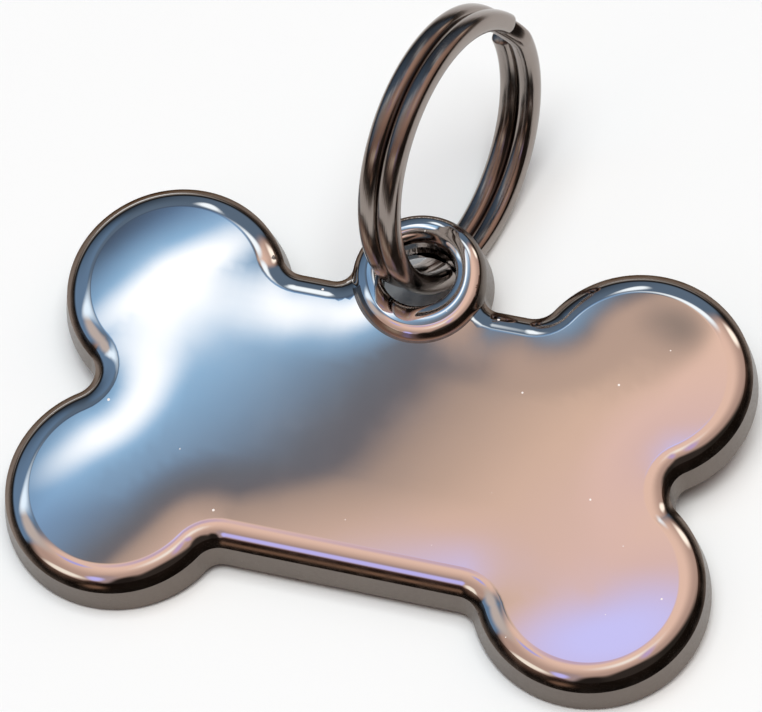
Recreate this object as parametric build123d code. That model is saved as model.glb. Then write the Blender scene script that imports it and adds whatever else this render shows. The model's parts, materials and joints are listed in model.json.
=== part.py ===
from build123d import *
import os
from math import atan2, ceil, cos, degrees, radians, sin, sqrt

# Bone-shaped pet tag of polished cast metal, with a raised round eye and a two-turn split ring in it.
# The tag lies face up on a flat surface. The ring stands through the eye and props that edge up.
# Millimetres, +Z up, X along the bone, Y towards the ring. The origin is on the surface, under the
# middle of the whole object. The tag and the ring are drawn in the tag's own frame, whose Z = 0 is the
# tag's flat back and whose X = Y = 0 is the middle of the bone, and are laid down together at the end.

# Bone outline, measured along the polished edge between the side wall and the rounded shoulder
TAG_LENGTH = 50.0
LOBE_R = 7.97
LOBE_SPACING = 15.87
WAIST_WIDTH = 21.56
WAIST_FILLET = 1.84
NOTCH_FILLET = 1.85

# Thickness: a side wall that leans out towards the back, then a rounded shoulder up to the flat face
WALL_HEIGHT = 2.31
WALL_FLARE = 0.43
SHOULDER_HEIGHT = 0.90
SHOULDER_ROUND_share = 0.97

# Split ring: one round wire in two flat turns side by side, with a step from one turn to the other
RING_OUTER_D = 21.07
WIRE_D = 1.30
TURN_GAP = 0.43
STEP_START = 199.5
STEP_ANGLE = 30.0

# Eye: a tab on the bone's upper edge, with a half-round rim about a through hole
EYE_ABOVE_WAIST = 1.49
EYE_PLAY = 2.27
RIM_WALL = 2.10
RIM_RISE = 1.45
RIM_ROUND_share = 0.55
LIP_ROUND_share = 0.43
BACK_LIP_ROUND_share = 0.16
TAB_MARGIN = 0.12
NECK_FILLET = 1.20

# How the ring stands in the eye: the turn of its axis about the tag's normal, the lean of that axis out
# of the tag's plane, the rise of its middle as a share of the steepest slope that the hole lets the wire
# take, and the wire's place at half the eye's height as shares of the room beside it there
RING_TURN = -13.56
RING_LEAN = 11.40
RING_RISE_share = 0.554
WIRE_X_share = -0.466
WIRE_Y_share = -0.096

# Sizes that follow from these
lobe_x = TAG_LENGTH / 2 - LOBE_R
lobe_y = LOBE_SPACING / 2
waist_y = WAIST_WIDTH / 2
coil_width = 2 * WIRE_D + TURN_GAP
hole_r = (coil_width + EYE_PLAY) / 2
rim_r = hole_r + RIM_WALL
tab_r = rim_r + TAB_MARGIN
eye_y = waist_y + EYE_ABOVE_WAIST
rim_top = WALL_HEIGHT + RIM_RISE
path_r = (RING_OUTER_D - WIRE_D) / 2
lane = (WIRE_D + TURN_GAP) / 2


def turn_to(start, end):
    """Direction from one point to another, in degrees."""
    return degrees(atan2(end.Y - start.Y, end.X - start.X))


def saddle(eye, lobe):
    """Middle of the neck fillet that touches both the tab and the lobe, outside the bone."""
    across = lobe - eye
    to_tab = tab_r + NECK_FILLET
    to_lobe = LOBE_R + NECK_FILLET
    along = (to_tab ** 2 - to_lobe ** 2 + across.dot(across)) / (2 * across.length)
    off = sqrt(to_tab ** 2 - along ** 2)
    way = across.normalized()
    return eye + way * along + Vector(-way.Y, way.X) * off


def bone_face(grow, height):
    """Flat bone with its tab, every edge moved out by grow, at a height above the back."""
    lobe = Vector(lobe_x, lobe_y)
    eye = Vector(0, eye_y)
    waist_x = lobe_x - sqrt((LOBE_R + WAIST_FILLET) ** 2 - (waist_y + WAIST_FILLET - lobe_y) ** 2)
    notch_x = lobe_x + sqrt((LOBE_R + NOTCH_FILLET) ** 2 - lobe_y ** 2)
    neck_x = sqrt((tab_r + NECK_FILLET) ** 2 - (waist_y + NECK_FILLET - eye_y) ** 2)
    notch_turn = turn_to(lobe, Vector(notch_x, 0))
    waist = Vector(waist_x, waist_y + WAIST_FILLET)
    waist_turn = turn_to(lobe, waist)
    edge_y = waist_y + grow
    if neck_x < waist_x:
        # A straight edge between the lobe's fillet and the tab's
        fillet_by_lobe = WAIST_FILLET
        by_lobe = waist
        by_tab = Vector(neck_x, waist_y + NECK_FILLET)
        straight = [Line((waist_x, edge_y), (neck_x, edge_y))]
    else:
        # Lobe and tab so close that one fillet joins them
        fillet_by_lobe = NECK_FILLET
        by_lobe = saddle(eye, lobe)
        by_tab = by_lobe
        straight = []
    lobe_end = turn_to(lobe, by_lobe)
    tab_start = turn_to(eye, by_tab)
    right = [
        Line((0, -edge_y), (waist_x, -edge_y)),
        CenterArc((waist_x, -waist.Y), WAIST_FILLET - grow, 90, 90 - waist_turn),
        CenterArc((lobe_x, -lobe_y), LOBE_R + grow, -waist_turn, waist_turn - notch_turn),
        CenterArc((notch_x, 0), NOTCH_FILLET - grow, 180 - notch_turn, 2 * notch_turn),
        CenterArc(lobe, LOBE_R + grow, notch_turn, lobe_end - notch_turn),
        CenterArc(by_lobe, fillet_by_lobe - grow, lobe_end - 180, 90 - lobe_end),
        *straight,
        CenterArc(by_tab, NECK_FILLET - grow, -90, tab_start - 90),
        CenterArc(eye, tab_r + grow, tab_start, 90 - tab_start),
    ]
    left = [mirror(edge, Plane.YZ) for edge in right]
    return Pos(0, 0, height) * make_face(right + left)


def rim_ring():
    """Half-round rim about the eye's hole, down to the back, turned about the hole's axis."""
    lip = RIM_WALL * LIP_ROUND_share
    outer = RIM_WALL * RIM_ROUND_share
    back = RIM_WALL * BACK_LIP_ROUND_share
    back_arc = CenterArc((hole_r + back, back), back, 180, 90)
    lip_arc = CenterArc((hole_r + lip, rim_top - lip), lip, 90, 90)
    outer_arc = CenterArc((rim_r - outer, rim_top - outer), outer, 0, 90)
    section = make_face([
        back_arc,
        Line(back_arc @ 0, lip_arc @ 1),
        lip_arc,
        Line(lip_arc @ 0, outer_arc @ 1),
        outer_arc,
        Line(outer_arc @ 0, (rim_r, 0)),
        Line((rim_r, 0), back_arc @ 1),
    ])
    return Pos(0, eye_y, 0) * revolve(Plane.XZ * section, Axis.Z)


def tag_plate():
    """Bone with its leaning side wall, rounded shoulder and raised eye, cast in one."""
    polished_edge = bone_face(0, WALL_HEIGHT)
    wall = loft([bone_face(WALL_FLARE, 0), polished_edge], ruled=True)
    shoulder = extrude(polished_edge, SHOULDER_HEIGHT)
    face_edges = shoulder.faces().sort_by(Axis.Z)[-1].edges()
    shoulder = fillet(face_edges, SHOULDER_HEIGHT * SHOULDER_ROUND_share)
    seat_r = hole_r + RIM_WALL / 2
    seat = Pos(0, eye_y, 0) * Cylinder(seat_r, 2 * rim_top)
    return wall + shoulder - seat + rim_ring()


def ring_axis():
    """Direction of the ring's own axis in the tag's frame."""
    flat = cos(radians(RING_LEAN))
    return Vector(flat * cos(radians(RING_TURN)), flat * sin(radians(RING_TURN)), sin(radians(RING_LEAN)))


def ring_plane():
    """Plane of the ring, X towards its low side in the eye and Y towards the tag's back."""
    wire_x = WIRE_X_share * (hole_r - coil_width / 2)
    wire_y = WIRE_Y_share * (hole_r - WIRE_D / 2)
    wire_in_eye = Vector(wire_x, eye_y + wire_y, rim_top / 2)
    rise = radians(RING_RISE_share * degrees(atan2(2 * hole_r - WIRE_D, rim_top)))
    facing = Plane(origin=(0, 0, 0), x_dir=(0, -1, 0), z_dir=ring_axis())
    centre = wire_in_eye - (facing.x_dir * cos(rise) + facing.y_dir * sin(rise)) * path_r
    return Plane(origin=centre, x_dir=facing.x_dir, z_dir=facing.z_dir)


def on_turn(angle, height):
    """Point of a turn, at an angle from the ring's low side and a height along its axis."""
    return Vector(path_r * cos(radians(angle)), path_r * sin(radians(angle)), height)


def flat_turn(start, sweep, height):
    """One turn in its own plane, as equal arcs of at most a quarter turn."""
    count = ceil(abs(sweep) / 90)
    part = sweep / count
    corners = [start + part * index for index in range(count + 1)]
    return [
        ThreePointArc(on_turn(a, height), on_turn((a + b) / 2, height), on_turn(b, height))
        for a, b in zip(corners, corners[1:])
    ]


def step_over(before, after):
    """Two arcs, smooth with each other and their neighbours, from the end of one edge to the next."""
    start = before @ 1
    end = after @ 0
    start_way = before % 1
    end_way = after % 0
    across = end - start
    both = start_way + end_way
    spread = 2 * (1 - start_way.dot(end_way))
    reach = (sqrt(across.dot(both) ** 2 + spread * across.dot(across)) - across.dot(both)) / spread
    middle = (start + start_way * reach + end - end_way * reach) / 2
    first = TangentArc(start, middle, tangent=start_way)
    return [first, TangentArc(middle, end, tangent=first % 1)]


def wire_path():
    """Middle line of the wire: a turn, the step, and the turn that lies beside the first."""
    around = STEP_ANGLE - 360
    under = flat_turn(STEP_START - STEP_ANGLE, around, -lane)
    over = flat_turn(STEP_START - STEP_ANGLE, around, lane)
    return Wire(under + step_over(under[-1], over[0]) + over)


def least_gap(path):
    """Least room between stretches of the wire that are over a quarter turn apart along it."""
    count = 720
    points = [path.position_at(index / count) for index in range(count + 1)]
    apart = count // 8
    spans = (
        (points[i] - points[j]).length
        for i in range(count + 1)
        for j in range(i + apart, count + 1)
    )
    return min(spans) - WIRE_D


def split_ring():
    """The wire swept along its path, cut square at its two ends."""
    path = wire_path()
    print("least gap of the ring's wire to itself", round(least_gap(path), 3))
    section = Plane(path @ 0, z_dir=path % 0) * Circle(WIRE_D / 2)
    wire = sweep(section, path, clean=False)
    print("ring volume over section times length", round(wire.volume / (section.area * path.length), 5))
    return ring_plane() * wire


def lying_tilt():
    """Tilt about X that sets the lower lobes' back edge and the ring's underside on one level."""
    ring = ring_plane()
    lobe_edge = -(lobe_y + LOBE_R + WALL_FLARE)
    low = 0.0
    high = 45.0
    while high - low > 1e-9:
        tilt = (low + high) / 2
        up = Vector(0, sin(radians(tilt)), cos(radians(tilt)))
        along = ring.z_dir.dot(up)
        under_ring = ring.origin.dot(up) - path_r * sqrt(1 - along ** 2) - lane * abs(along) - WIRE_D / 2
        if under_ring < up.Y * lobe_edge:
            low = tilt
        else:
            high = tilt
    return low


tilt = lying_tilt()
pieces = {"tag_plate": tag_plate(), "split_ring": split_ring()}
laid = {name: Rot(tilt, 0, 0) * shape for name, shape in pieces.items()}
box = laid["tag_plate"].bounding_box().add(laid["split_ring"].bounding_box())
to_rest = Pos(-box.center().X, -box.center().Y, -box.min.Z)

os.makedirs("parts", exist_ok=True)
for name, shape in laid.items():
    export_step(to_rest * shape, f"parts/{name}.step")

placed = to_rest * Rot(tilt, 0, 0)
eye = placed * Pos(0, eye_y, WALL_HEIGHT)
ring_middle = placed * Pos(*ring_plane().origin)
print("tilt as it lies, degrees", round(tilt, 4))
print("eye on its axis at the polished edge", eye.position)
print("tag normal", (placed * Pos(0, 0, 1)).position - placed.position)
print("ring middle", ring_middle.position)
print("ring axis", (placed * Pos(*ring_axis())).position - placed.position)
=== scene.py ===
import json
from math import atan2, ceil, cos, degrees, pi, radians, sin, sqrt
import bpy
import numpy as np
from mathutils import Matrix, Vector
from mathutils.geometry import delaunay_2d_cdt
from mathutils.kdtree import KDTree


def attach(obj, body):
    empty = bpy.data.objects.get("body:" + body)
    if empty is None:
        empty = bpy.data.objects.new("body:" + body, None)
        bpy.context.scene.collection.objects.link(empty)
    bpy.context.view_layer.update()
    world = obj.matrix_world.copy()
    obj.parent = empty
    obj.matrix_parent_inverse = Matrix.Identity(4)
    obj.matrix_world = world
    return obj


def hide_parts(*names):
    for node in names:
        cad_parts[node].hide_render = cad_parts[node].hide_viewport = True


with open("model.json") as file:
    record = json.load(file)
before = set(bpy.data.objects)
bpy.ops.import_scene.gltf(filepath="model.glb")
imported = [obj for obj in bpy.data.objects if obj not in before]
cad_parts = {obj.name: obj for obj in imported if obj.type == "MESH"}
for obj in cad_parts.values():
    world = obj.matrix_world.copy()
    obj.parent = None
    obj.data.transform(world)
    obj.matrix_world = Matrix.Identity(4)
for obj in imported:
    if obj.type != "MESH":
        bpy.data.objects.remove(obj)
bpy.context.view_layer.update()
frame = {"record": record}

# Tag plate
# The bone is one zinc alloy casting, 50 mm long and 3.2 mm thick, with a raised round eye on its upper
# edge. Its face is flat with a softly rounded shoulder, buffed to a mirror and plated. The side wall,
# which leans out to let the casting leave its mould, and the back are left satin from the tumbling.
MM = 0.001
LOBE_R = 7.97
LOBE_X = 17.03
LOBE_Y = 7.935
WAIST_Y = 10.78
WAIST_FILLET = 1.84
NOTCH_FILLET = 1.85
NECK_FILLET = 1.20
EYE_Y = 12.27
TAB_R = 4.87
HOLE_R = 2.65
WALL_H = 2.31
WALL_FLARE = 0.43
BACK_ROUND = 0.25
SHOULDER_H = 0.90
SHOULDER_W = 1.90
SHOULDER_POWER = 2.20
# Width of the band along the face's edge that gets the painted dark reflection
ARRIS_W = 0.52
CROWN_H = 0.12
CROWN_W = 7.00
RIM_H = 1.45
RIM_DIP = 0.22
RIM_CREST_R = 3.70
RIM_SPREAD = 0.75
LIP_DROP = 0.80
LIP_POWER = 3.40
RIM_FILLET = 0.25
RIM_REACH = 6.10
RIM_FALL = 6.0
RIM_SPREAD_WAY = np.array([0.34, -0.94])
RIM_DIP_WAY = np.array([-0.8, 0.6])
CREST_SHARE = 0.9
EYE = np.array([0, EYE_Y])

swing = frame["record"]["behaviour"]["joints"][0]
face_up = Vector(swing["axis"]).normalized()
to_ring = face_up.cross(Vector((1, 0, 0)))
tag_turn = Matrix(((1, 0, 0), to_ring, face_up)).transposed()
tag_middle = Vector(swing["pos_m"]) - to_ring * EYE_Y * MM
tag_place = Matrix.Translation(tag_middle) @ tag_turn.to_4x4()


def bone_edge(spacing):
    """Points along the bone's polished edge and their outward directions, counter-clockwise, in mm."""
    waist_x = LOBE_X - sqrt((LOBE_R + WAIST_FILLET) ** 2 - (WAIST_Y + WAIST_FILLET - LOBE_Y) ** 2)
    notch_x = LOBE_X + sqrt((LOBE_R + NOTCH_FILLET) ** 2 - LOBE_Y ** 2)
    neck_x = sqrt((TAB_R + NECK_FILLET) ** 2 - (WAIST_Y + NECK_FILLET - EYE_Y) ** 2)
    waist_turn = degrees(atan2(WAIST_Y + WAIST_FILLET - LOBE_Y, waist_x - LOBE_X))
    notch_turn = degrees(atan2(-LOBE_Y, notch_x - LOBE_X))
    neck_turn = degrees(atan2(WAIST_Y + NECK_FILLET - EYE_Y, neck_x))
    places = []
    ways = []

    def add_line(start_x, end_x, y):
        count = ceil(abs(end_x - start_x) / spacing)
        for x in np.linspace(start_x, end_x, count, endpoint=False):
            places.append((x, y))
            ways.append((0, y / abs(y)))

    def add_arc(x, y, radius, start, end, bulge):
        count = ceil(radians(abs(end - start)) * radius / spacing)
        for turn in np.radians(np.linspace(start, end, count, endpoint=False)):
            places.append((x + radius * cos(turn), y + radius * sin(turn)))
            ways.append((bulge * cos(turn), bulge * sin(turn)))

    add_line(0, waist_x, -WAIST_Y)
    add_arc(waist_x, -WAIST_Y - WAIST_FILLET, WAIST_FILLET, 90, 180 - waist_turn, -1)
    add_arc(LOBE_X, -LOBE_Y, LOBE_R, -waist_turn, -notch_turn, 1)
    add_arc(notch_x, 0, NOTCH_FILLET, 180 - notch_turn, 180 + notch_turn, -1)
    add_arc(LOBE_X, LOBE_Y, LOBE_R, notch_turn, waist_turn, 1)
    add_arc(waist_x, WAIST_Y + WAIST_FILLET, WAIST_FILLET, waist_turn - 180, -90, -1)
    add_line(waist_x, neck_x, WAIST_Y)
    add_arc(neck_x, WAIST_Y + NECK_FILLET, NECK_FILLET, -90, neck_turn - 180, -1)
    add_arc(0, EYE_Y, TAB_R, neck_turn, 90, 1)
    flip = np.array([-1, 1])
    places = np.array(places)
    ways = np.array(ways)
    top = np.array([[0, EYE_Y + TAB_R]])
    places = np.concatenate([places, top, (places * flip)[:0:-1]])
    ways = np.concatenate([ways, [[0, 1]], (ways * flip)[:0:-1]])
    return places, ways


FINE_SPACING = 0.02
edge_places, edge_ways = bone_edge(FINE_SPACING)
edge_tree = KDTree(len(edge_places))
for index, place in enumerate(edge_places):
    edge_tree.insert((place[0], place[1], 0), index)
edge_tree.balance()


def depth_inside(places):
    """Distance of each point from the polished edge, and the outward direction there."""
    nearest = np.array([edge_tree.find((x, y, 0))[1] for x, y in places])
    ways = edge_ways[nearest]
    return np.sum((edge_places[nearest] - places) * ways, axis=1), ways


def rim_shape(ways):
    """Radius of the rim's crest and of its foot, and its height, for directions from the eye's axis."""
    toward_face = np.clip(ways @ RIM_SPREAD_WAY, 0, 1) ** 2
    crest = RIM_CREST_R + CREST_SHARE * RIM_SPREAD * toward_face
    foot = TAB_R + RIM_SPREAD * toward_face
    dipped = (0.5 + 0.5 * ways @ RIM_DIP_WAY) ** 2
    return crest, foot, RIM_H - RIM_DIP * dipped


def about_eye(places):
    """Distance of each point from the eye's axis, and its direction from there."""
    from_eye = places - EYE
    reach = np.hypot(from_eye[:, 0], from_eye[:, 1])
    return reach, from_eye / reach[:, None]


def rim_form(places):
    """Height of the eye's rim over the polished edge: a tight lip inside, a spreading flank outside."""
    reach, ways = about_eye(places)
    crest, foot, top = rim_shape(ways)
    outer = np.clip((reach - crest) / (foot - crest), 0, 1)
    inner = np.clip((crest - reach) / (crest - HOLE_R), 0, 1)
    flank = np.sqrt(np.maximum(1 - outer ** 2, 1e-4))
    lip = np.maximum(1 - inner ** LIP_POWER, 0) ** (1 / LIP_POWER)
    return top * flank - LIP_DROP * (1 - lip) - RIM_FALL * np.clip(reach - foot, 0, None)


def ways_round(count):
    """Directions spread evenly round the eye's axis."""
    turns = np.arange(count) * 2 * pi / count
    return np.column_stack([np.cos(turns), np.sin(turns)])


def rim_loop(share, count):
    """Points round the eye that follow the rim: at its hole (0), crest (1), foot (2) or beyond (3)."""
    ways = ways_round(count)
    crest, foot, _ = rim_shape(ways)
    reach = HOLE_R + min(share, 1) * (crest - HOLE_R)
    reach = reach + np.clip(share - 1, 0, 1) * (foot - crest)
    reach = reach + np.clip(share - 2, 0, 1) * (RIM_REACH - foot)
    return EYE + ways * reach[:, None]


def face_form(places):
    """Height of the polished face over its edge at each point, and its normal there."""
    depth, ways = depth_inside(places)
    to_flat = np.clip(1 - depth / SHOULDER_W, 0, 1)
    to_middle = np.clip(1 - depth / CROWN_W, 0, 1)
    shoulder = SHOULDER_H * (1 - to_flat ** SHOULDER_POWER) + CROWN_H * (1 - to_middle ** 2)
    shoulder_slope = SHOULDER_POWER * SHOULDER_H / SHOULDER_W * to_flat ** (SHOULDER_POWER - 1)
    shoulder_slope = shoulder_slope + 2 * CROWN_H / CROWN_W * to_middle
    rim = rim_form(places)
    nudge = 0.001
    across = np.array([nudge, 0])
    along = np.array([0, nudge])
    rim_slope = np.column_stack([
        rim_form(places - across) - rim_form(places + across),
        rim_form(places - along) - rim_form(places + along),
    ]) / (2 * nudge)
    steepest = 8.0
    rim_steep = np.linalg.norm(rim_slope, axis=1)
    rim_slope = rim_slope * (np.minimum(rim_steep, steepest) / np.maximum(rim_steep, 1e-6))[:, None]
    fillet_start = 0.8
    fillet = np.maximum(RIM_FILLET * np.clip(depth / fillet_start, 0, 1), nudge)
    share = np.clip(0.5 + (rim - shoulder) / (2 * fillet), 0, 1)
    on_lip = about_eye(places)[0] < RIM_CREST_R
    share = np.where(on_lip, 1, share)
    height = shoulder + (rim - shoulder) * share + fillet * share * (1 - share)
    height = np.where(depth < nudge, 0, height)
    slope = ways * (shoulder_slope * (1 - share))[:, None] + rim_slope * share[:, None]
    normals = np.column_stack([slope, np.ones(len(slope))])
    return height, normals / np.linalg.norm(normals, axis=1)[:, None]


def circle_about_eye(radius, count):
    """Points round the eye's axis, in mm."""
    return EYE + radius * ways_round(count)


def fill_flat(edge, hole, others):
    """Triangles between an edge loop and a hole loop, through the other points."""
    spots = [Vector(spot) for spot in np.concatenate([edge, hole, others])]
    ties = []
    for first, count in ((0, len(edge)), (len(edge), len(hole))):
        ties += [(first + step, first + (step + 1) % count) for step in range(count)]
    fill_inside = 1
    same_spot = 1e-6
    made_spots, _, made_faces, sources = delaunay_2d_cdt(spots, ties, [], fill_inside, same_spot)[:4]
    chord_share = 0.995
    hole_reach = chord_share * np.hypot(*(hole[0] - EYE))
    faces = []
    for corners in made_faces:
        middle = sum((made_spots[corner] for corner in corners), Vector((0, 0))) / len(corners)
        if (middle - Vector(EYE)).length > hole_reach:
            faces.append([sources[corner][0] for corner in corners])
    return faces


# Points of the face: loops down its shoulder, loops on the rim, and a grid on the flat
EDGE_SPACING = 0.28
EYE_COUNT = 160
SHOULDER_LOOPS = 16
LOOP_CROWDING = 1.5
BEYOND_LOOPS = 6
FOOT_MARGIN = 0.06
EDGE_MARGIN = 0.05
FLAT_MARGIN = 0.1
edge, ways = bone_edge(EDGE_SPACING)
hole = circle_about_eye(HOLE_R, EYE_COUNT)
inner_points = []
for step in range(1, SHOULDER_LOOPS + 1):
    loop = edge - ways * SHOULDER_W * (step / SHOULDER_LOOPS) ** LOOP_CROWDING
    reach, eye_ways = about_eye(loop)
    foot = rim_shape(eye_ways)[1]
    inner_points.append(loop[reach > foot + FOOT_MARGIN])
lip_shares = [1 - cos(radians(turn)) for turn in range(12, 91, 6)]
flank_shares = [1 + sin(radians(turn)) for turn in range(6, 91, 6)]
for share in lip_shares + flank_shares:
    loop = rim_loop(share, EYE_COUNT)
    inner_points.append(loop[depth_inside(loop)[0] > EDGE_MARGIN])
for step in range(1, BEYOND_LOOPS + 1):
    loop = rim_loop(2 + step / BEYOND_LOOPS, EYE_COUNT)
    inner_points.append(loop[depth_inside(loop)[0] > SHOULDER_W + FLAT_MARGIN])
GRID_SPACING = 0.8
GRID_LOW = (-25, -16)
GRID_HIGH = (25, 18)
GRID_MARGIN = 0.3
across = np.arange(GRID_LOW[0], GRID_HIGH[0], GRID_SPACING)
along = np.arange(GRID_LOW[1], GRID_HIGH[1], GRID_SPACING)
grid = np.array([(x, y) for x in across for y in along])
grid_depth = depth_inside(grid)[0]
grid_reach = about_eye(grid)[0]
on_flat = (grid_depth > SHOULDER_W + GRID_MARGIN) & (grid_reach > RIM_REACH + GRID_MARGIN)
inner_points.append(grid[on_flat])
inner_points = np.concatenate(inner_points)

# Face and lip, then the side wall down to the back, then the wall of the hole, then the back. Each
# finish is the number of its material on the mesh.
MIRROR = 0
SATIN = 1
# The third finish is a painted dark reflection along the face's edge and low on the rim
PAINTED_DARK_EDGE = 2
corners = []
normals = []
faces = []
face_finish = []


def add_corners(places, heights, directions):
    """Adds points with their normals and returns the number of the first."""
    first = len(corners)
    corners.extend(np.column_stack([places, heights]).tolist())
    normals.extend(np.asarray(directions).tolist())
    return first


def add_faces(new_faces, corner_map, finish):
    """Adds faces as (corner, normal) pairs, all of one finish."""
    for face in new_faces:
        faces.append([corner_map(corner) for corner in face])
        face_finish.append(finish)


def add_band(upper, lower, count, finish, flip):
    """Adds a band of quads between two closed loops, given as their first corners and normals."""
    for step in range(count):
        after = (step + 1) % count
        quad = [
            (upper[0] + step, upper[1] + step),
            (lower[0] + step, lower[1] + step),
            (lower[0] + after, lower[1] + after),
            (upper[0] + after, upper[1] + after),
        ]
        faces.append(quad[::-1] if flip else quad)
        face_finish.append(finish)


STEEP_Z = 0.66
TAB_SIDE_X = 1.5
# Part of the rim's low flank, turned toward the face, that gets the painted dark reflection
FLANK_START = 0.52
FLANK_WAY = np.array([0.1, -1])
FLANK_FACING = 0.35
face_places = np.concatenate([edge, hole, inner_points])
face_heights, face_normals = face_form(face_places)
hole_top = rim_shape((hole - EYE) / HOLE_R)[2] - LIP_DROP
face_heights[len(edge):len(edge) + len(hole)] = hole_top
add_corners(face_places, face_heights, face_normals)
face_depth = depth_inside(face_places)[0]
eye_reach, eye_ways = about_eye(face_places)
crest, foot, _ = rim_shape(eye_ways)
flank_share = (eye_reach - crest) / (foot - crest)
toward_face = eye_ways @ FLANK_WAY
for face in fill_flat(edge, hole, inner_points):
    middle = np.mean(face_places[face], axis=0)
    steep = np.min(face_normals[face][:, 2]) < STEEP_Z
    past_crest = np.mean(eye_reach[face]) > RIM_CREST_R
    on_tab_side = middle[0] > TAB_SIDE_X and middle[1] > WAIST_Y and past_crest
    # Faces along the edge and low on the rim's flank get the painted dark reflection
    looks_down = np.mean(toward_face[face]) > FLANK_FACING
    on_low_flank = FLANK_START < np.mean(flank_share[face]) < 1 and looks_down
    at_edge = np.mean(face_depth[face]) < ARRIS_W
    if steep and on_tab_side:
        finish = SATIN
    elif at_edge or on_low_flank:
        finish = PAINTED_DARK_EDGE
    else:
        finish = MIRROR
    add_faces([face], lambda corner: (corner, corner), finish)


def add_normals(directions):
    """Adds normals that belong to corners made before, and returns the number of the first."""
    first = len(normals)
    normals.extend(np.asarray(directions).tolist())
    return first


WALL_STEPS = 4
ROUND_STEPS = 5
lean = atan2(WALL_FLARE, WALL_H)
wall_normals = np.column_stack([ways * cos(lean), np.full(len(ways), sin(lean))])
last = (0, add_normals(wall_normals))
for step in range(1, WALL_STEPS + 1):
    drop = (WALL_H - BACK_ROUND) * (step / WALL_STEPS)
    grow = WALL_FLARE * drop / WALL_H
    first = add_corners(edge + ways * grow, np.full(len(edge), -drop), wall_normals)
    add_band(last, (first, first), len(edge), SATIN, False)
    last = (first, first)
for step in range(1, ROUND_STEPS + 1):
    turn = radians(90 * step / ROUND_STEPS)
    grow = WALL_FLARE * (1 - BACK_ROUND / WALL_H) - BACK_ROUND * (1 - cos(turn))
    drop = WALL_H - BACK_ROUND * (1 - sin(turn))
    round_normals = np.column_stack([ways * cos(turn), np.full(len(ways), -sin(turn))])
    first = add_corners(edge + ways * grow, np.full(len(edge), -drop), round_normals)
    add_band(last, (first, first), len(edge), SATIN, False)
    last = (first, first)
back_edge = last[0]
back_edge_places = edge + ways * grow

BACK_LIP = 0.30
HOLE_STEPS = 3
BACK_LIP_STEPS = 4
hole_normals = np.column_stack([(EYE - hole) / HOLE_R, np.zeros(len(hole))])
last = (len(edge), add_normals(hole_normals))
for step in range(1, HOLE_STEPS + 1):
    level = hole_top + (BACK_LIP - WALL_H - hole_top) * step / HOLE_STEPS
    first = add_corners(hole, level, hole_normals)
    add_band(last, (first, first), len(hole), MIRROR, True)
    last = (first, first)
for step in range(1, BACK_LIP_STEPS + 1):
    turn = radians(90 * step / BACK_LIP_STEPS)
    loop = circle_about_eye(HOLE_R + BACK_LIP * (1 - cos(turn)), EYE_COUNT)
    lip_normals = hole_normals * cos(turn) - np.array([0, 0, sin(turn)])
    level = BACK_LIP * (1 - sin(turn)) - WALL_H
    first = add_corners(loop, np.full(len(loop), level), lip_normals)
    add_band(last, (first, first), len(hole), SATIN, True)
    last = (first, first)
back_hole = last[0]
BACK_MARGIN = 0.4
back_grid = grid[(grid_depth > BACK_MARGIN) & (grid_reach > HOLE_R + 2 * BACK_LIP)]
back_level = np.full(len(back_grid), -WALL_H)
back_normals = np.tile([0, 0, -1], (len(back_grid), 1))
back_inner = add_corners(back_grid, back_level, back_normals)


def back_corner(corner):
    """Corner and normal of the back's flat fill."""
    if corner < len(edge):
        place = back_edge + corner
    elif corner < len(edge) + len(hole):
        place = back_hole + corner - len(edge)
    else:
        place = back_inner + corner - len(edge) - len(hole)
    return place, place


back_faces = [face[::-1] for face in fill_flat(back_edge_places, loop, back_grid)]
add_faces(back_faces, back_corner, SATIN)


def smooth_mesh(name, places, pairs, directions, finishes):
    """Mesh with smooth faces and the given normal at each corner of each face."""
    mesh = bpy.data.meshes.new(name)
    mesh.from_pydata(places, [], [[corner for corner, _ in face] for face in pairs])
    mesh.polygons.foreach_set("use_smooth", [True] * len(pairs))
    mesh.polygons.foreach_set("material_index", finishes)
    mesh.normals_split_custom_set([directions[normal] for face in pairs for _, normal in face])
    mesh.update()
    return mesh


tag_corners = [tag_place @ (Vector(corner) * MM) for corner in corners]
tag_normals = [tag_turn @ Vector(normal) for normal in normals]
tag_mesh = smooth_mesh("tag_plate_shape", tag_corners, faces, tag_normals, face_finish)
tag = bpy.data.objects.new("bone_tag", tag_mesh)
bpy.context.scene.collection.objects.link(tag)


def srgb(code):
    """Linear colour of an sRGB hex value."""
    parts = [int(code[place:place + 2], 16) / 255 for place in (1, 3, 5)]
    return tuple(p / 12.92 if p <= 0.04045 else ((p + 0.055) / 1.055) ** 2.4 for p in parts) + (1,)


def add_node(tree, kind, sockets, **settings):
    """Adds one node. Each socket takes a value, or the output of another node."""
    made = tree.nodes.new(kind)
    for name, value in settings.items():
        setattr(made, name, value)
    for name, value in sockets.items():
        if isinstance(value, bpy.types.NodeSocket):
            tree.links.new(value, made.inputs[name])
        else:
            made.inputs[name].default_value = value
    return made


def new_finish(name):
    """Material with its node tree, its shader and the object's coordinates in metres."""
    finish = bpy.data.materials.new(name)
    finish.use_nodes = True
    tree = finish.node_tree
    place = add_node(tree, "ShaderNodeTexCoord", {}).outputs["Object"]
    return finish, tree, tree.nodes["Principled BSDF"], place


# Sockets of a node that mixes colours, by number: Blender has several of the same name on it
MIX_SHARE = 0
MIX_FIRST = 6
MIX_SECOND = 7
MIX_RESULT = 2

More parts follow.
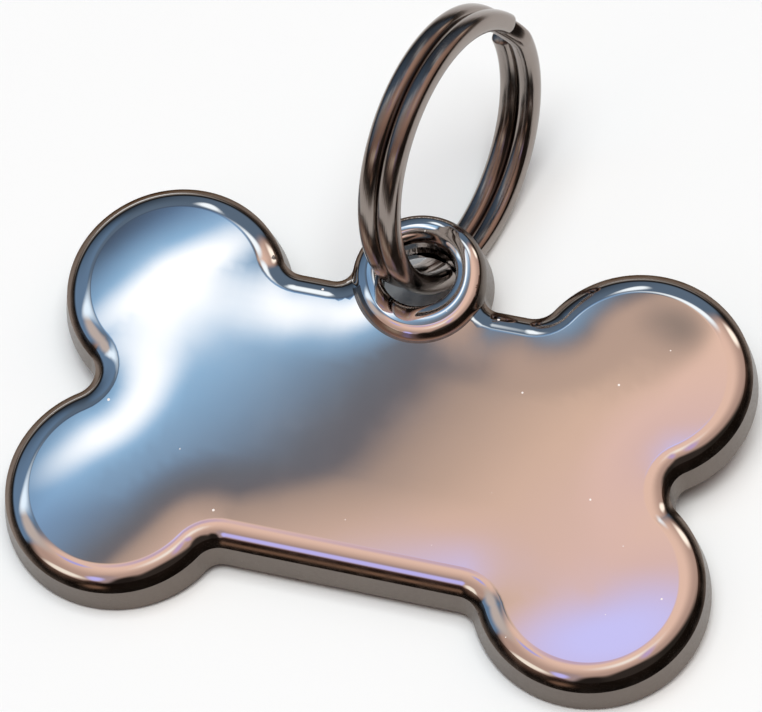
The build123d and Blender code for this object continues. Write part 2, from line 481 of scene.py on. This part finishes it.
# Rhodium-bright plating over a buffed casting: a near-perfect mirror, with a faint haze that the
# buffing wheel leaves in patches, low waves that bend what it mirrors, and a few specks of dust.
mirror, tree, shader, place = new_finish("mirror_plating")
haze_mm = 5.0
haze = add_node(tree, "ShaderNodeTexNoise", {"Vector": place, "Scale": 1 / (haze_mm * MM), "Detail": 3})
polish = add_node(tree, "ShaderNodeMapRange", {
    "Value": haze.outputs["Fac"],
    "From Min": 0.3,
    "From Max": 0.75,
    "To Min": 0.02,
    "To Max": 0.06,
})
dust_mm = 3.2
dust = add_node(tree, "ShaderNodeTexVoronoi", {
    "Vector": place,
    "Scale": 1 / (dust_mm * MM),
}, voronoi_dimensions="2D")
dust_size = add_node(tree, "ShaderNodeSeparateColor", {"Color": dust.outputs["Color"]})
dust_reach = add_node(tree, "ShaderNodeMapRange", {
    "Value": dust_size.outputs["Red"],
    "From Min": 0.78,
    "From Max": 1.0,
    "To Min": 0.0,
    "To Max": 0.032,
})
speck = add_node(tree, "ShaderNodeMath", {
    0: dust.outputs["Distance"],
    1: dust_reach.outputs["Result"],
}, operation="LESS_THAN")
metal_left = add_node(tree, "ShaderNodeMath", {0: 1.0, 1: speck.outputs["Value"]}, operation="SUBTRACT")
dust_tint = add_node(tree, "ShaderNodeMix", {
    MIX_SHARE: speck.outputs["Value"],
    MIX_FIRST: srgb("#EDEBEA"),
    MIX_SECOND: srgb("#F2F0EC"),
}, data_type="RGBA")
rough = add_node(tree, "ShaderNodeMath", {
    0: polish.outputs["Result"],
    1: speck.outputs["Value"],
}, operation="ADD", use_clamp=True)
wave_mm = 9.0
wave = add_node(tree, "ShaderNodeTexNoise", {"Vector": place, "Scale": 1 / (wave_mm * MM), "Detail": 2})
waves = add_node(tree, "ShaderNodeBump", {
    "Height": wave.outputs["Fac"],
    "Strength": 1.0,
    "Distance": 0.003 * MM,
})
tree.links.new(metal_left.outputs["Value"], shader.inputs["Metallic"])
tree.links.new(dust_tint.outputs[MIX_RESULT], shader.inputs["Base Color"])
tree.links.new(rough.outputs["Value"], shader.inputs["Roughness"])
tree.links.new(waves.outputs["Normal"], shader.inputs["Normal"])
tag_mesh.materials.append(mirror)

# The same plating where the casting was only tumbled: a satin warm grey with a fine pitted grain,
# and paler rubbed patches.
satin, tree, shader, place = new_finish("satin_plating")
grit_mm = 0.18
grit = add_node(tree, "ShaderNodeTexNoise", {"Vector": place, "Scale": 1 / (grit_mm * MM), "Detail": 4})
rub_mm = 4.0
rub = add_node(tree, "ShaderNodeTexNoise", {"Vector": place, "Scale": 1 / (rub_mm * MM), "Detail": 3})
satin_tint = add_node(tree, "ShaderNodeMix", {
    MIX_SHARE: rub.outputs["Fac"],
    MIX_FIRST: srgb("#695F59"),
    MIX_SECOND: srgb("#7A7169"),
}, data_type="RGBA")
satin_rough = add_node(tree, "ShaderNodeMapRange", {
    "Value": grit.outputs["Fac"],
    "From Min": 0.25,
    "From Max": 0.75,
    "To Min": 0.26,
    "To Max": 0.42,
})
pits = add_node(tree, "ShaderNodeBump", {
    "Height": grit.outputs["Fac"],
    "Strength": 0.5,
    "Distance": 0.02 * MM,
})
shader.inputs["Metallic"].default_value = 1.0
tree.links.new(satin_tint.outputs[MIX_RESULT], shader.inputs["Base Color"])
tree.links.new(satin_rough.outputs["Result"], shader.inputs["Roughness"])
tree.links.new(pits.outputs["Normal"], shader.inputs["Normal"])
tag_mesh.materials.append(satin)

# A painted dark reflection on the plating, in a narrow band along the face's edge and low on the rim. Its
# dark, mottled tint stands in for the dark surroundings that the mirror would show there, and outlines the
# face on every side.
painted_reflection_finish, tree, shader, place = new_finish("painted_dark_reflection")
reflection_mottle_mm = 1.2
reflection_mottle = add_node(tree, "ShaderNodeTexNoise", {"Vector": place, "Scale": 1 / (reflection_mottle_mm * MM), "Detail": 3})
painted_reflection_tint = add_node(tree, "ShaderNodeMix", {
    MIX_SHARE: reflection_mottle.outputs["Fac"],
    MIX_FIRST: srgb("#7D7068"),
    MIX_SECOND: srgb("#978A81"),
}, data_type="RGBA")
arris_rough = add_node(tree, "ShaderNodeMapRange", {
    "Value": reflection_mottle.outputs["Fac"],
    "From Min": 0.3,
    "From Max": 0.7,
    "To Min": 0.10,
    "To Max": 0.20,
})
shader.inputs["Metallic"].default_value = 1.0
# A dimmed specular tint darkens the painted reflection further
shader.inputs["Specular Tint"].default_value = srgb("#5A5550")
tree.links.new(painted_reflection_tint.outputs[MIX_RESULT], shader.inputs["Base Color"])
tree.links.new(arris_rough.outputs["Result"], shader.inputs["Roughness"])
tag_mesh.materials.append(painted_reflection_finish)

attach(tag, "tag")
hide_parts("tag_plate")

# Split ring
# One length of spring steel wire, rolled to a soft D and wound into two turns that lie side by side,
# with a step where it crosses from one turn to the other. It is dark nickel plated and polished.
RING_OUTER_R = 10.535
WIRE_RADIAL = 1.534
WIRE_AXIAL = 1.56
WIRE_POWER = 2.6
LANE = 0.786
STEP_START = 199.5
STEP_ANGLE = 19.0
END_ROUND = 0.20
RUN_STATIONS = 680
wire_r = RING_OUTER_R - WIRE_RADIAL / 2

loop_mount = frame["record"]["mounts"][0]
ring_middle = Vector(loop_mount["pos_m"])
ring_axis = Vector(loop_mount["axis"]).normalized()
low_side = -to_ring
low_side = (low_side - ring_axis * low_side.dot(ring_axis)).normalized()
back_side = ring_axis.cross(low_side)


def wire_middle(turned):
    """Point of the wire's middle line in metres, after it has turned by so many degrees from its start."""
    angle = STEP_START - STEP_ANGLE - turned
    first_turn = 360 - STEP_ANGLE
    crossed = min(max((turned - first_turn) / STEP_ANGLE, 0), 1)
    lift = LANE * (2 * crossed * crossed * (3 - 2 * crossed) - 1)
    outward = low_side * cos(radians(angle)) + back_side * sin(radians(angle))
    return ring_middle + (outward * wire_r + ring_axis * lift) * MM


full_turn = 720 - STEP_ANGLE
end_turn = degrees(END_ROUND / wire_r)
stations = [end_turn * (1 - cos(radians(turn))) for turn in range(0, 91, 15)]
ends = [(place, sqrt(max(1 - (1 - place / end_turn) ** 2, 0))) for place in stations[1:]]
run = [(place, 1.0) for place in np.linspace(end_turn, full_turn - end_turn, RUN_STATIONS)[1:-1]]
other_end = [(full_turn - place, size) for place, size in ends[::-1]]
along_wire = ends + run + other_end

section_count = 40
section = []
for step in range(section_count):
    turn = 2 * pi * step / section_count
    reach = (abs(cos(turn)) ** WIRE_POWER + abs(sin(turn)) ** WIRE_POWER) ** (-1 / WIRE_POWER)
    section.append((reach * cos(turn) * WIRE_RADIAL / 2, reach * sin(turn) * WIRE_AXIAL / 2))

nudge_turn = 0.05
wire_corners = []
for turned, size in along_wire:
    middle = wire_middle(turned)
    way = (wire_middle(turned + nudge_turn) - wire_middle(turned - nudge_turn)).normalized()
    outward = middle - ring_middle
    outward = outward - ring_axis * outward.dot(ring_axis)
    outward = (outward - way * outward.dot(way)).normalized()
    side = way.cross(outward)
    for out, over in section:
        wire_corners.append(middle + (outward * out + side * over) * size * MM)
wire_faces = []
for station in range(len(along_wire) - 1):
    base = station * section_count
    beyond = base + section_count
    for step in range(section_count):
        after = (step + 1) % section_count
        wire_faces.append((base + step, base + after, beyond + after, beyond + step))
tips = len(wire_corners)
wire_corners.append(wire_middle(0))
wire_corners.append(wire_middle(full_turn))
last_loop = (len(along_wire) - 1) * section_count
for step in range(section_count):
    after = (step + 1) % section_count
    wire_faces.append((tips, after, step))
    wire_faces.append((tips + 1, last_loop + step, last_loop + after))
ring_mesh = bpy.data.meshes.new("split_ring_shape")
ring_mesh.from_pydata(wire_corners, [], wire_faces)
ring_mesh.polygons.foreach_set("use_smooth", [True] * len(wire_faces))
around = ring_mesh.attributes.new("around_wire", "FLOAT", "POINT")
around_values = [(corner % section_count / section_count + 0.5) % 1 for corner in range(tips)]
around.data.foreach_set("value", around_values + [0.5, 0.5])
ring_mesh.update()
ring = bpy.data.objects.new("wound_ring", ring_mesh)
bpy.context.scene.collection.objects.link(ring)

# Dark nickel on drawn spring wire: a grey-brown mirror with fine drawing lines along the wire, which
# are drawn about twice as coarse as real ones so that they show.
nickel, tree, shader, place = new_finish("dark_nickel_wire")
smear_mm = 2.5
smear = add_node(tree, "ShaderNodeTexNoise", {"Vector": place, "Scale": 1 / (smear_mm * MM), "Detail": 3})
nickel_tint = add_node(tree, "ShaderNodeMix", {
    MIX_SHARE: smear.outputs["Fac"],
    MIX_FIRST: srgb("#8A807A"),
    MIX_SECOND: srgb("#A0968F"),
}, data_type="RGBA")
nickel_rough = add_node(tree, "ShaderNodeMapRange", {
    "Value": smear.outputs["Fac"],
    "From Min": 0.3,
    "From Max": 0.7,
    "To Min": 0.12,
    "To Max": 0.22,
})
line_mm = 0.10
around_mm = pi * (WIRE_RADIAL + WIRE_AXIAL) / 2
around_wire = add_node(tree, "ShaderNodeAttribute", {}, attribute_name="around_wire")
lines = add_node(tree, "ShaderNodeTexNoise", {
    "W": around_wire.outputs["Fac"],
    "Scale": around_mm / line_mm,
    "Detail": 2,
}, noise_dimensions="1D")
drawn = add_node(tree, "ShaderNodeBump", {
    "Height": lines.outputs["Fac"],
    "Strength": 1.0,
    "Distance": 0.008 * MM,
})
shader.inputs["Metallic"].default_value = 1.0
tree.links.new(nickel_tint.outputs[MIX_RESULT], shader.inputs["Base Color"])
tree.links.new(nickel_rough.outputs["Result"], shader.inputs["Roughness"])
tree.links.new(drawn.outputs["Normal"], shader.inputs["Normal"])
ring_mesh.materials.append(nickel)

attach(ring, "ring")
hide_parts("split_ring")

# Floor
# A plain sheet of white card, lit evenly.
floor_half = 1.5
floor_corners = [(x * floor_half, y * floor_half, 0) for x, y in ((-1, -1), (1, -1), (1, 1), (-1, 1))]
floor_mesh = bpy.data.meshes.new("card_sheet")
floor_mesh.from_pydata(floor_corners, [], [(0, 1, 2, 3)])
floor = bpy.data.objects.new("floor", floor_mesh)
bpy.context.scene.collection.objects.link(floor)
card, _, shader, _ = new_finish("white_card")
shader.inputs["Base Color"].default_value = srgb("#EFF7F8")
shader.inputs["Roughness"].default_value = 0.9
floor_mesh.materials.append(card)

# Studio
# A room of soft tinted panels round the tag, which is what its mirror shows. Directions are laid out
# flat, in degrees from the zenith, +X to the right and +Y to the back: blue daylight at the back left,
# warm walls at the front right, and a dark line between them that the flat of the face looks up at.
world = bpy.data.worlds.new("studio")
bpy.context.scene.world = world
world.use_nodes = True
tree = world.node_tree
toward = add_node(tree, "ShaderNodeTexCoord", {}).outputs["Generated"]
height = add_node(tree, "ShaderNodeSeparateXYZ", {"Vector": toward}).outputs["Z"]
polar = add_node(tree, "ShaderNodeMath", {0: height}, operation="ARCCOSINE").outputs["Value"]
polar = add_node(tree, "ShaderNodeMath", {0: polar}, operation="DEGREES").outputs["Value"]
sideways = add_node(tree, "ShaderNodeVectorMath", {0: toward, 1: (1, 1, 0)}, operation="MULTIPLY")
sideways = add_node(tree, "ShaderNodeVectorMath", {0: sideways.outputs["Vector"]}, operation="NORMALIZE")
flat = add_node(tree, "ShaderNodeVectorMath", {
    0: sideways.outputs["Vector"],
    "Scale": polar,
}, operation="SCALE").outputs["Vector"]


def lay_panel(under, centre, half_size, turn, soft, code, strength=1.0):
    """Lays one soft oval panel, sized in degrees, over the room so far, and returns the room with it."""
    local = add_node(tree, "ShaderNodeMapping", {
        "Vector": flat,
        "Location": (*centre, 0),
        "Rotation": (0, 0, radians(turn)),
        "Scale": (*half_size, 1),
    }, vector_type="TEXTURE")
    reach = add_node(tree, "ShaderNodeVectorMath", {0: local.outputs["Vector"]}, operation="LENGTH")
    cover = add_node(tree, "ShaderNodeMapRange", {
        "Value": reach.outputs["Value"],
        "From Min": 1.0,
        "From Max": 1.0 - soft,
    }, interpolation_type="SMOOTHSTEP")
    colour = [part * strength for part in srgb(code)[:3]] + [1]
    return add_node(tree, "ShaderNodeMix", {
        MIX_SHARE: cover.outputs["Result"],
        MIX_FIRST: under,
        MIX_SECOND: colour,
    }, data_type="RGBA").outputs[MIX_RESULT]


# Warm walls and their lamps
room = srgb("#28231F")
room = lay_panel(room, (2, 2), (84, 46), 47, 0.25, "#B8998B")
room = lay_panel(room, (4, 8), (60, 36), 47, 0.7, "#EFC9B6")
room = lay_panel(room, (9, -7), (17, 9), 47, 1.0, "#FFF3E8")
room = lay_panel(room, (-6, -45), (12, 16), 0, 0.6, "#A89190")
room = lay_panel(room, (-34, -47), (22, 7), -15, 0.6, "#FFF2E2")
room = lay_panel(room, (34, 55), (14, 9), 25, 0.7, "#FFF0E0", 1.3)
room = lay_panel(room, (20, -9), (14, 5), -45, 0.9, "#C4A8D0")
room = lay_panel(room, (10, -52), (13, 20), 0, 0.6, "#241E1B")
room = lay_panel(room, (34, -36), (26, 20), 40, 0.5, "#322B27")
room = lay_panel(room, (-11, -47), (8, 9), 0, 0.7, "#C8C0FF")
room = lay_panel(room, (-12, -58), (10, 5), 0, 0.7, "#4A3430")
room = lay_panel(room, (-12, -69), (14, 5), 0, 0.7, "#D8B49C")

# Daylight and its window strips
room = lay_panel(room, (-48, 47), (110, 54), 47, 0.14, "#5E6F82")
room = lay_panel(room, (-63, 10.5), (44, 38), 62, 0.2, "#68829F")
room = lay_panel(room, (-60, 66), (60, 62), 47, 1.0, "#232A33")
room = lay_panel(room, (-42, -9), (24, 17), 30, 0.7, "#C4B6AF")
room = lay_panel(room, (-30, 7), (13, 6), 20, 0.6, "#7693B3")
room = lay_panel(room, (-38, 4.8), (30, 5.5), 26, 0.8, "#E2F2FF", 1.2)
room = lay_panel(room, (-1, 29), (17, 5.5), 36, 0.7, "#F2FAFF", 1.2)
room = lay_panel(room, (-12, 40), (14, 4), 90, 0.6, "#F2FAFF", 1.2)

# Overhead, the change from warm to blue across the dark line
HUB = (-10, 15.5, 0)
HUB_OUTER = 13.0
HUB_INNER = 8.0
BAND_SPAN = 30.0
band_turn = radians(60)
across_band = add_node(tree, "ShaderNodeVectorMath", {
    0: flat,
    1: (-sin(band_turn), cos(band_turn), 0),
}, operation="DOT_PRODUCT")
band_place = add_node(tree, "ShaderNodeMapRange", {
    "Value": across_band.outputs["Value"],
    "From Min": 0.0,
    "From Max": BAND_SPAN,
})
ramp = add_node(tree, "ShaderNodeValToRGB", {"Fac": band_place.outputs["Result"]})
stops = ramp.color_ramp.elements
stops[0].color = srgb("#F0CAB8")
stops[1].color = srgb("#5A6878")
for place, code in (
    (12.3, "#F2CCB8"),
    (14.2, "#E2C0AA"),
    (15.9, "#B29B8E"),
    (16.5, "#6F6C72"),
    (17.1, "#6F727B"),
    (19.0, "#7C96B4"),
    (20.5, "#84A6CC"),
    (23.0, "#5F7898"),
    (24.4, "#4C5A6E"),
):
    stops.new(place / BAND_SPAN).color = srgb(code)
from_hub = add_node(tree, "ShaderNodeVectorMath", {0: flat, 1: HUB}, operation="DISTANCE")
overhead = add_node(tree, "ShaderNodeMapRange", {
    "Value": from_hub.outputs["Value"],
    "From Min": HUB_OUTER,
    "From Max": HUB_INNER,
}, interpolation_type="SMOOTHSTEP")
room = add_node(tree, "ShaderNodeMix", {
    MIX_SHARE: overhead.outputs["Result"],
    MIX_FIRST: room,
    MIX_SECOND: ramp.outputs["Color"],
}, data_type="RGBA").outputs[MIX_RESULT]
room = lay_panel(room, (-14.0, 16.9), (9.0, 3.6), 46, 1.0, "#A8D8FF")
room = lay_panel(room, (-13.7, 17.1), (7.0, 1.6), 46, 0.85, "#FFFFFF", 1.4)
room = lay_panel(room, (-19, -11), (7, 6), 0, 0.8, "#B4ACE8")
room = lay_panel(room, (-6, 6), (16, 8), 61, 1.0, "#C9ADC4")
room = lay_panel(room, (-4.8, 11.2), (7.5, 3.4), 27, 0.85, "#CDCAFF", 1.1)
room = lay_panel(room, (-6.2, 19.0), (3.6, 2.6), 30, 0.5, "#C4A898")
room = lay_panel(room, (-5.2, 19.6), (2.2, 1.8), 0, 0.9, "#9C8A80")

# A dark skirting all round, over a paler far floor
for start, end, code in ((71, 79, "#1C1A19"), (81, 88, "#8A837D")):
    low = add_node(tree, "ShaderNodeMapRange", {
        "Value": polar,
        "From Min": start,
        "From Max": end,
    }, interpolation_type="SMOOTHSTEP")
    room = add_node(tree, "ShaderNodeMix", {
        MIX_SHARE: low.outputs["Result"],
        MIX_FIRST: room,
        MIX_SECOND: srgb(code),
    }, data_type="RGBA").outputs[MIX_RESULT]
tree.links.new(room, tree.nodes["Background"].inputs["Color"])
tree.nodes["Background"].inputs["Strength"].default_value = 1.0

# One soft square lamp overhead lights the card
lamp_data = bpy.data.lights.new("overhead_lamp", "AREA")
lamp_data.shape = "SQUARE"
lamp_data.size = 0.6
lamp_data.energy = 5.6
lamp = bpy.data.objects.new("overhead_lamp", lamp_data)
lamp.location = (0, 0, 0.8)
lamp.visible_glossy = False
bpy.context.scene.collection.objects.link(lamp)

# Camera
# A long lens, 260 mm from the tag, aimed near its middle and rolled a little. Its place is given in the
# tag's own frame, in mm, and the picture is 762 by 712 pixels.
camera_data = bpy.data.cameras.new("camera")
camera_data.sensor_width = 36
camera_data.lens = 173.13
camera_data.clip_start = 0.01
camera = bpy.data.objects.new("camera", camera_data)
bpy.context.scene.collection.objects.link(camera)
camera_from = Vector((44.763, -93.792, 236.084))
camera_aim = Vector((-1.250, 5.760, 0))
camera_roll = radians(15.225)
backward = (camera_from - camera_aim).normalized()
level = Vector((0, 1, 0)).cross(backward).normalized()
upright = backward.cross(level)
right = level * cos(camera_roll) + upright * sin(camera_roll)
camera_turn = Matrix((right, backward.cross(right), backward)).transposed()
camera.matrix_world = tag_place @ Matrix.Translation(camera_from * MM) @ camera_turn.to_4x4()
bpy.context.scene.camera = camera

bpy.context.scene.view_settings.view_transform = "Standard"
